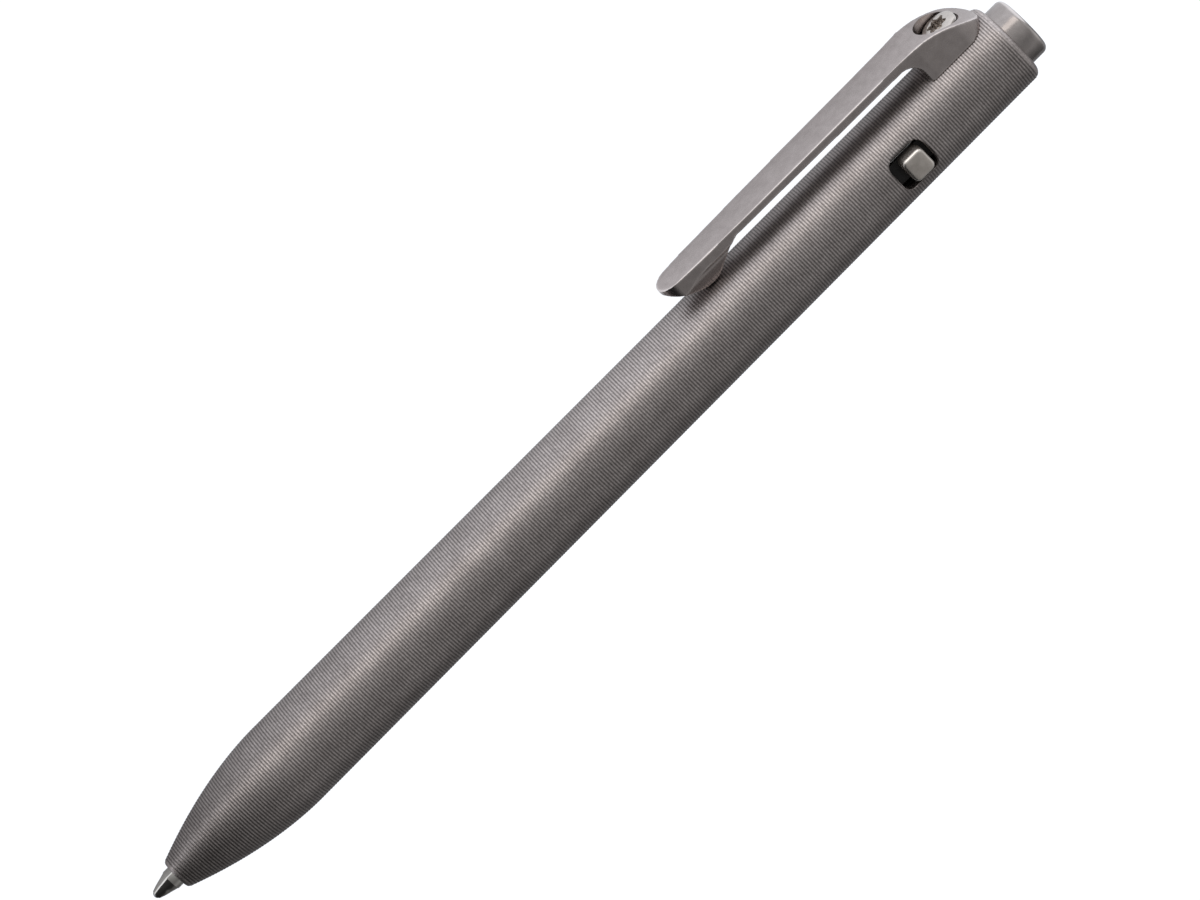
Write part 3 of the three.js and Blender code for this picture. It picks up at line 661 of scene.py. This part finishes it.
# %% Refill
tip_back = along_of("refill_tip")[1]
ball_radius, rolled_rim, collar = 0.5, 0.53, 1.24
refill_ball = turned("refill_ball_round", arc((0, ball_radius), ball_radius, -90, 90, 40), 48, 180)
refill_tip = turned("refill_point", [
    *arc((0, ball_radius), rolled_rim, 85, -25, 16), (0.52, 0.29), (0.555, 0.36), (0.62, 0.55), (0.7, 0.77),
    (0.77, 1.0), (0.835, 1.21), (0.89, 1.43), (0.94, 1.65), (0.995, 1.87), (1.06, 2.09), (1.12, 2.31),
    (1.165, 2.48), (1.175, 2.52), (1.23, 2.54), (collar, 2.57), (collar, tip_back), (0, tip_back),
], 96, 24)
neck_front, neck_back = along_of("refill_neck")
neck_radius, neck_socket, shoulder_back = 1.5, 1.23, 13.2
tube_radius, tube_bore, tube_groove = 2.95, 2.65, 2.86
neck = turned("refill_nose", [
    (neck_socket, neck_front), (neck_radius - 0.08, neck_front), (neck_radius, neck_front + 0.1),
    (neck_radius, 11.75), (1.6, 11.98), (2.8, 12.0), (tube_radius, 12.15), (tube_radius, shoulder_back),
    (2.6, shoulder_back), (2.6, neck_back), (0.6, neck_back), (0.6, tip_back + 0.05),
    (neck_socket, tip_back + 0.05),
], 96, 30)
tube_front, tube_back = along_of("refill_tube")
refill_tube = turned("refill_tube_drawn", [
    (tube_bore, tube_front), (tube_radius - 0.05, tube_front), (tube_radius, tube_front + 0.08),
    (tube_radius, tube_front + 1.3), (tube_groove, tube_front + 1.5), (tube_groove, tube_front + 1.7),
    (tube_radius, tube_front + 1.9), (tube_radius, tube_back - 0.1), (tube_radius - 0.05, tube_back),
    (tube_bore, tube_back),
], 96, 30)
oring_low, oring_high = along_of("joint_oring")
oring_inside, oring_section = groove_radius + 0.03, 0.32
oring_middle = (0.5 * (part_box("joint_oring")[1].y / MM + oring_inside), 0.5 * (oring_low + oring_high))
oring = turned("joint_oring_round", arc(oring_middle, oring_section, 0, 337.5, 15), 96, 180)


# %% [markdown]
# The return spring is a helix: its angle grows with the length. A round section is carried along it, ring by
# ring, and the section's two directions are the helix's own normal and the cross product of its tangent
# with that normal. The latch's bent wire keeps the solid's shape, and only its shading turns smooth.

# %% Springs
def coil(name, start, end, turns, mean_radius, wire_radius, steps=160, sides=12):
    """Centre line: (R cos a, R sin a, start + rise a). Each ring: the centre plus the wire's radius times
    (cos b, sin b) in the plane of the normal and the binormal."""
    share = np.linspace(0, 1, steps + 1)
    angle = 2 * np.pi * turns * share
    x, y = mean_radius * np.cos(angle), mean_radius * np.sin(angle)
    centre = np.stack([x, y, start + (end - start) * share], -1)
    rise = (end - start) / (2 * np.pi * turns)
    tangent = np.stack([-y, x, np.full_like(angle, rise)], -1)
    tangent /= np.linalg.norm(tangent, axis=1, keepdims=True)
    normal = np.stack([np.cos(angle), np.sin(angle), 0 * angle], -1)
    binormal = np.cross(tangent, normal)
    around = 2 * np.pi * np.arange(sides) / sides
    rings = centre[:, None] + wire_radius * (
        np.cos(around)[:, None] * normal[:, None] + np.sin(around)[:, None] * binormal[:, None])
    return stacked(name, rings, 60)


spring_front, spring_back = along_of("return_spring")
spring_turns, spring_radius, wire = 4.5, 1.95, 0.2
return_spring = coil("return_spring_round", spring_front + wire, spring_back - wire, spring_turns,
                     spring_radius, wire)
latch_wire = in_scene("latch_spring_wire", frame["nodes"]["latch_spring"].data.copy())
shaded(latch_wire, 60)
print("return spring", len(return_spring.data.polygons), "faces, latch wire", len(latch_wire.data.polygons))

# %% [markdown]
# The finishes are node trees. One helper adds any node, with its settings and its inputs, and gives one of
# its outputs, which can then be an input of the next. Four short ones name the nodes that come up often.

# %% Node helpers
def one_node(tree, kind, terms, output=0, **settings):
    """Terms are the inputs by name or number. Another node's output is linked to the input, and anything
    else becomes its own value."""
    node = tree.nodes.new("ShaderNode" + kind)
    for name, value in settings.items():
        setattr(node, name, value)
    for name, term in terms.items():
        if isinstance(term, bpy.types.NodeSocket):
            tree.links.new(term, node.inputs[name])
        else:
            node.inputs[name].default_value = term
    return node.outputs[output]


def calc(tree, operation, *terms, clamp=False):
    return one_node(tree, "Math", dict(enumerate(terms)), operation=operation, use_clamp=clamp)


def ranged(tree, value, start, end, low, high, curve="LINEAR"):
    """The value's way from start to end becomes a way from low to high, held there."""
    terms = {"Value": value, "From Min": start, "From Max": end, "To Min": low, "To Max": high}
    return one_node(tree, "MapRange", terms, interpolation_type=curve)


def mixed(tree, share, first, second, way="MIX"):
    """Two colours mixed."""
    terms = {"Factor": share, "A": first, "B": second}
    return one_node(tree, "Mix", terms, "Result", data_type="RGBA", blend_type=way)


def noise(tree, where, scale, detail, roughness=0.5):
    """A noise whose value lies round a half."""
    terms = {"Vector": where, "Scale": scale, "Detail": detail, "Roughness": roughness}
    return one_node(tree, "TexNoise", terms, "Fac")


# %% [markdown]
# Bare metal has no colour of its own to speak of: it mirrors the room, tinted and blurred. What tells tumbled
# titanium from chrome is how uneven that blur is. One node group holds this for every metal: a slow mottle
# that shifts the tint, a fine grain that shifts the roughness, and tiny pits as a bump. Where the mesh marks
# an edge as worn, the surface turns smoother, and the tint turns lighter as a painted highlight. Each metal
# places the group with its own values.

# %% The metal's surface, as one group
def build_surface_group():
    group = bpy.data.node_groups.new("worked_metal", "ShaderNodeTree")
    face = group.interface
    for name in ("Light tint", "Dark tint"):
        face.new_socket(name, in_out="INPUT", socket_type="NodeSocketColor")
    for name, value in [("Mottle size", 900.0), ("Grain size", 9000.0), ("Smoothest", 0.3), ("Roughest", 0.5),
                        ("Pits", 0.2), ("Wear and sheen", 0.0)]:
        face.new_socket(name, in_out="INPUT", socket_type="NodeSocketFloat").default_value = value
    for name, kind in [("Colour", "Color"), ("Roughness", "Float"), ("Normal", "Vector")]:
        face.new_socket(name, in_out="OUTPUT", socket_type="NodeSocket" + kind)
    given, out = group.nodes.new("NodeGroupInput").outputs, group.nodes.new("NodeGroupOutput").inputs
    where = one_node(group, "TexCoord", {}, "Object")
    mottle = noise(group, where, given["Mottle size"], 4.0, 0.65)
    grain = noise(group, where, given["Grain size"], 3.0)
    tint_share = ranged(group, mottle, 0.3, 0.7, 0.0, 1.0)
    tint = mixed(group, tint_share, given["Dark tint"], given["Light tint"])
    # Marked edges screen the tint towards the light tint: a painted highlight.
    sheen_tint = mixed(group, given["Wear and sheen"], tint, given["Light tint"], "SCREEN")
    blur = ranged(group, grain, 0.0, 1.0, given["Smoothest"], given["Roughest"])
    worn_blur = calc(group, "MULTIPLY", blur, ranged(group, given["Wear and sheen"], 0.0, 1.0, 1.0, 0.6))
    pits = one_node(group, "Bump", {"Distance": 0.02 * MM, "Strength": given["Pits"], "Height": grain})
    for name, term in {"Colour": sheen_tint, "Roughness": worn_blur, "Normal": pits}.items():
        group.links.new(term, out[name])
    return group


surface_group = build_surface_group()
print("surface group", len(surface_group.nodes), "nodes")

# %% [markdown]
# A finish is one material with this group in it. Tints are picked as eight-bit colours, but light adds up in
# linear values, so they are turned into those.

# %% How a finish is made
def srgb(red, green, blue):
    """Eight-bit colour to linear light: the sRGB curve's straight part below 0.04045, its power above."""
    c = np.array([red, green, blue]) / 255
    linear = np.where(c <= 0.04045, c / 12.92, ((c + 0.055) / 1.055) ** 2.4)
    return (*linear.tolist(), 1.0)


def metal(name, light, dark, mottle, grain, smoothest, roughest, pits, metallic=1.0):
    """A material with the group's values: two eight-bit tints, the scales of the mottle and the grain, the
    range of the roughness, the strength of the pits and, for what isn't metal, how metallic it is."""
    made = bpy.data.materials.new(name)
    made.use_nodes = True
    nodes, links = made.node_tree.nodes, made.node_tree.links
    shader = nodes["Principled BSDF"]
    shader.inputs["Metallic"].default_value = metallic
    surface = nodes.new("ShaderNodeGroup")
    surface.name = "surface"
    surface.node_tree = surface_group
    values = {"Light tint": srgb(*light), "Dark tint": srgb(*dark), "Mottle size": mottle,
              "Grain size": grain, "Smoothest": smoothest, "Roughest": roughest, "Pits": pits}
    for name, value in values.items():
        surface.inputs[name].default_value = value
    # The mesh's mark for wear, which smooths the surface, and for a painted highlight, which lightens the
    # tint.
    wear_and_sheen = one_node(made.node_tree, "Attribute", {}, "Fac", attribute_name="wear_and_sheen")
    links.new(wear_and_sheen, surface.inputs["Wear and sheen"])
    for output, socket in [("Colour", "Base Color"), ("Roughness", "Roughness"), ("Normal", "Normal")]:
        links.new(surface.outputs[output], shader.inputs[socket])
    return made


# %% [markdown]
# On the barrel the thread's valleys are painted in shade, darker than its crests. The meshes carry how near
# each point lies to a crest, and the barrel's material darkens the tint by it. A fine noise breaks this up,
# because a tool that chatters doesn't cut every groove alike.

# %% The finishes
barrel_metal = metal("turned_titanium", (204, 196, 194), (184, 176, 174), 300.0, 6000.0, 0.36, 0.5, 0.1)
tree = barrel_metal.node_tree
crest = one_node(tree, "Attribute", {}, "Fac", attribute_name="crest")
# Painted shade: the tint falls to 0.27 of itself in the thread's valleys and stays whole on the crests.
valley = ranged(tree, crest, 0.0, 1.0, 0.27, 1.0)
chatter = noise(tree, one_node(tree, "TexCoord", {}, "Object"), 4200.0, 1.0)
break_up = ranged(tree, chatter, 0.3, 0.7, 0.8, 1.16)
groove_shade_and_chatter = calc(tree, "MULTIPLY", valley, break_up)
barrel_tint = mixed(tree, 1.0, tree.nodes["surface"].outputs["Colour"], groove_shade_and_chatter, "MULTIPLY")
tree.links.new(barrel_tint, tree.nodes["Principled BSDF"].inputs["Base Color"])

tumbled = metal("tumbled_titanium", (173, 165, 163), (158, 150, 148), 900.0, 7000.0, 0.22, 0.36, 0.3)
button_metal = metal("blasted_titanium", (204, 197, 190), (182, 175, 168), 900.0, 9000.0, 0.42, 0.6, 0.4)
knock_metal = metal("handled_titanium", (164, 158, 156), (147, 141, 139), 900.0, 7000.0, 0.16, 0.25, 0.25)
screw_metal = metal("polished_titanium", (202, 196, 191), (184, 178, 173), 900.0, 6000.0, 0.18, 0.28, 0.15)
nickel = metal("turned_nickel", (228, 225, 220), (212, 209, 204), 500.0, 5000.0, 0.05, 0.1, 0.02)
brass = metal("turned_brass", (214, 186, 120), (190, 160, 96), 400.0, 5000.0, 0.22, 0.36, 0.08)
steel = metal("drawn_steel", (196, 196, 196), (172, 172, 173), 400.0, 6000.0, 0.22, 0.36, 0.08)
black_steel = metal("blackened_steel", (70, 69, 69), (52, 52, 52), 500.0, 6000.0, 0.6, 0.75, 0.15)
rubber = metal("oring_rubber", (32, 32, 33), (22, 22, 23), 900.0, 8000.0, 0.6, 0.75, 0.2, 0.0)
plastic = metal("moulded_plastic", (44, 46, 52), (36, 38, 43), 300.0, 5000.0, 0.35, 0.45, 0.1, 0.0)
ink = metal("ink_paste", (22, 28, 54), (14, 18, 38), 300.0, 3000.0, 0.2, 0.3, 0.0, 0.0)
print(surface_group.users, "finishes use the surface group")

# %% [markdown]
# Each new piece stands for a solid of the frame, moves with that solid's body and takes a finish, which
# the table lists beside one of the record's slots. The two springs have no body of their own, so neither is
# attached to one. The return spring ends on the barrel's side and on the refill. The latch wire stands fixed
# at its foot, with its loop at the side button. Solids whose shape is already right stay, and only get their
# finish.

# %% What each piece stands for
pieces = [
    (front_barrel, "front_barrel", "front_body", "barrel_titanium", barrel_metal),
    (rear_barrel, "rear_barrel", "rear_body", "barrel_titanium", barrel_metal),
    (clip, "clip", "rear_body", "tumbled_titanium", tumbled),
    (clip_screw, "clip_screw", "rear_body", "tumbled_titanium", screw_metal),
    (end_button, "plunger_head", "knock_body", "tumbled_titanium", knock_metal),
    (side_button, "side_button", "button_body", "tumbled_titanium", button_metal),
    (tongue, "side_button", "button_body", "dark_steel", black_steel),
    (refill_ball, "refill_ball", "refill_body", "spring_steel", steel),
    (refill_tip, "refill_tip", "refill_body", "refill_nickel", nickel),
    (neck, "refill_neck", "refill_body", "refill_brass", brass),
    (refill_tube, "refill_tube", "refill_body", "refill_steel", steel),
    (oring, "joint_oring", "front_body", "oring_rubber", rubber),
    (return_spring, "return_spring", None, "spring_steel", steel),
    (latch_wire, "latch_spring", None, "spring_steel", steel),
]
for piece, node, body, slot, finish in pieces:
    piece.data.materials.clear()
    piece.data.materials.append(finish)
    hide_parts(node)
    if body:
        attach(piece, body)
place([(0, 0, spring_front), (0, 0, spring_back)])
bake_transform(return_spring)
latch_fixed_to = along_of("latch_spring")[0] + 1
place([(0, 0, latch_fixed_to), (0, 0, button_middle)])
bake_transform(latch_wire)

kept = {"plunger_stem": steel, "plunger_foot": brass, "latch_housing": black_steel,
        "lock_ring": brass, "refill_end_cap": plastic, "ink_column": ink}
for node, finish in kept.items():
    solid = frame["nodes"][node]
    for material_slot in solid.material_slots:
        material_slot.material = finish
print(len(pieces), "new pieces,", len(kept), "solids kept")

# %% [markdown]
# The photograph looks down on the pen at about 45 degrees, from far away, with the side button nearly
# facing the lens. Its horizon is turned so that the pen runs up to the right. The camera is built from three
# directions: along the pen, up across it, and back to the lens.

# %% Camera
middle_along, aim_below = 69.49, 0.066
lens_distance, lens_millimetres = 648.0, 177.0
picture_turn, lens_tilt = math.radians(45.13), math.radians(1.4)
towards_lens = np.array([0.0, -0.715, 0.698])
towards_lens /= np.linalg.norm(towards_lens)
back = math.cos(lens_tilt) * towards_lens + math.sin(lens_tilt) * along_way
along_picture = along_way - (along_way @ back) * back
along_picture /= np.linalg.norm(along_picture)
across_picture = np.cross(back, along_picture)
right = math.cos(picture_turn) * along_picture - math.sin(picture_turn) * across_picture
upward = math.sin(picture_turn) * along_picture + math.cos(picture_turn) * across_picture
aim = place([(0, 0, middle_along)])[0] - aim_below * MM * across_picture
stand = aim + back * lens_distance * MM
lens = bpy.data.cameras.new("lens")
lens.sensor_width, lens.lens = 36.0, lens_millimetres
lens.clip_start, lens.clip_end = 0.01, 20.0
camera = in_scene("camera", lens)
turn = Matrix([[right[k], upward[k], back[k]] for k in range(3)]).to_4x4()
camera.matrix_world = Matrix.Translation(Vector(stand)) @ turn
bpy.context.scene.camera = camera
print("the lens stands", lens_distance, "mm from the pen")

# %% [markdown]
# Metal needs something to mirror. The floor is white, one long soft lamp stands low in front, on the clip's
# side, and the room above and behind stays dim, which gives the barrel its bright band and its dark edge.

# %% Floor and lamp
floor_height, floor_reach = cad_box[0].z, 3.0
floor_mesh = bpy.data.meshes.new("floor")
corners = [(x * floor_reach, y * floor_reach, floor_height) for x, y in ((-1, -1), (1, -1), (1, 1), (-1, 1))]
floor_mesh.from_pydata(corners, [], [(0, 1, 2, 3)])
floor = in_scene("floor", floor_mesh)

lamp_stand, lamp_aim = Vector((-0.05, -0.6, 0.11)), Vector((0.048, 0, 0))
light = bpy.data.lights.new("long_soft_lamp", "AREA")
light.shape, light.size, light.size_y, light.energy = "RECTANGLE", 0.86, 0.2, 0.67
light.color = (1.0, 0.945, 0.895)
lamp = in_scene("long_soft_lamp", light)
lamp.location = lamp_stand
lamp.rotation_mode = "QUATERNION"
lamp.rotation_quaternion = (lamp_aim - lamp_stand).to_track_quat("-Z", "Y")
print("floor at", round(floor_height / MM, 2), "mm, lamp", round((lamp_aim - lamp_stand).length, 2), "m away")

# %% [markdown]
# The lens sees the floor as nearly pure light, on a white paint that keeps a trace of the pen's shadow. The
# metal mirrors it as a soft cool glow: bright on the clip's side, dark behind the pen, falling off towards
# the nose, and less where the pen stands close over it. Just past the tip it is bright again, for the
# cone. To mirrored rays the paint itself is darker, so that the glow alone shapes the metal.

# %% Floor paint
floor_paint = bpy.data.materials.new("floor_paint")
floor_paint.use_nodes = True
tree = floor_paint.node_tree
nodes, links = tree.nodes, tree.links
path = nodes.new("ShaderNodeLightPath").outputs
spot = nodes.new("ShaderNodeSeparateXYZ")
links.new(one_node(tree, "TexCoord", {}, "Object"), spot.inputs[0])
# Across the pen the share of glow falls from 0.84, 9 mm in front of the axis, to 0.06, 13 mm behind it.
in_front = ranged(tree, spot.outputs["Y"], -9 * MM, 13 * MM, 0.84, 0.06, "SMOOTHSTEP")
# Along the pen that share is multiplied by 1.42 at the end button and by 6.5 less for each metre.
towards_cap = calc(tree, "MULTIPLY_ADD", spot.outputs["X"], -6.5, 1.42)
by_nose = ranged(tree, spot.outputs["X"], 110 * MM, 134 * MM, 1.1, 0.38, "SMOOTHSTEP")
towards_cap = calc(tree, "MULTIPLY", towards_cap, by_nose)
past_tip = ranged(tree, spot.outputs["X"], 139 * MM, 147 * MM, 0.0, 0.9, "SMOOTHSTEP")
by_length = calc(tree, "MAXIMUM", towards_cap, past_tip)
metal_share = calc(tree, "MULTIPLY", in_front, by_length, clamp=True)
open_air = one_node(tree, "AmbientOcclusion", {"Distance": 10 * MM}, "AO", samples=8)
shadow = calc(tree, "POWER", open_air, 0.6)
metal_share = calc(tree, "MULTIPLY", metal_share, shadow)
mirrored = calc(tree, "MAXIMUM", path["Is Glossy Ray"], path["Is Transmission Ray"])
mirrored = calc(tree, "MULTIPLY", mirrored, metal_share)
# For the lens the floor is 0.8 glow and 0.2 paint.
share = calc(tree, "MULTIPLY_ADD", path["Is Camera Ray"], 0.8, mirrored)
plain = nodes["Principled BSDF"]
plain.inputs["Roughness"].default_value = 0.9
white, grey = (0.8, 0.8, 0.8, 1), (0.45, 0.45, 0.46, 1)
links.new(mixed(tree, path["Is Glossy Ray"], white, grey), plain.inputs["Base Color"])
glow = one_node(tree, "Emission", {"Color": (0.94, 0.96, 1.0, 1), "Strength": 1.33})
look = one_node(tree, "MixShader", {0: share, 1: plain.outputs[0], 2: glow})
links.new(look, nodes["Material Output"].inputs["Surface"])
floor_mesh.materials.append(floor_paint)
print("floor paint", len(nodes), "nodes")

# %% [markdown]
# The room is a gradient by direction. Seen from the pen it is brightest low down on the clip's side, dim
# overhead, a little lighter beyond and darkest low down behind. That draws the soft dark streak below the
# barrel's middle and its dark edge. It fades towards the writing end, so the nose turns darker than the
# barrel, and it is a little lighter towards the cap. The lens sees white instead.

# %% Room
world = bpy.data.worlds.new("room")
bpy.context.scene.world = world
world.use_nodes = True
tree = world.node_tree
nodes, links = tree.nodes, tree.links
way = nodes.new("ShaderNodeSeparateXYZ")
links.new(one_node(tree, "TexCoord", {}, "Generated"), way.inputs[0])
ramp = nodes.new("ShaderNodeValToRGB")
stops = ramp.color_ramp.elements
stops[0].position, stops[1].position = 0.0, 1.0
# 0 is level towards the clip's side, 0.5 is straight up and 1 is level towards the back.
for position, grey in [(0.0, 0.8), (0.15, 0.54), (0.5, 0.265), (0.78, 0.37), (1.0, 0.1)]:
    stop = stops[0] if position == 0 else stops[-1] if position == 1 else stops.new(position)
    stop.color = (grey, grey, grey, 1)
links.new(calc(tree, "MULTIPLY_ADD", way.outputs["Y"], 0.5, 0.5), ramp.inputs["Fac"])
# With x as the way's part towards the tip, the strength is 1.03 - 0.5 x. Tipwards it loses 5.2 x cubed, and
# capwards it gains 1.6 times what x lies below 0, counted as far as 0.12. It never falls under 0.06.
tipwards = calc(tree, "MAXIMUM", way.outputs["X"], 0.0)
capwards = calc(tree, "MAXIMUM", calc(tree, "MINIMUM", way.outputs["X"], 0.0), -0.12)
fade = calc(tree, "MULTIPLY_ADD", way.outputs["X"], -0.5, 1.03)
fade = calc(tree, "MULTIPLY_ADD", calc(tree, "POWER", tipwards, 3.0), -5.2, fade)
fade = calc(tree, "MULTIPLY_ADD", capwards, -1.6, fade)
dim, bright = nodes["Background"], one_node(tree, "Background", {"Color": (1, 1, 1, 1)})
links.new(ramp.outputs["Color"], dim.inputs["Color"])
links.new(calc(tree, "MAXIMUM", fade, 0.06), dim.inputs["Strength"])
seen_by_lens = one_node(tree, "LightPath", {}, "Is Camera Ray")
look = one_node(tree, "MixShader", {0: seen_by_lens, 1: dim.outputs[0], 2: bright})
links.new(look, nodes["World Output"].inputs["Surface"])
bpy.context.scene.view_settings.view_transform = "Standard"
print("room", len(nodes), "nodes")
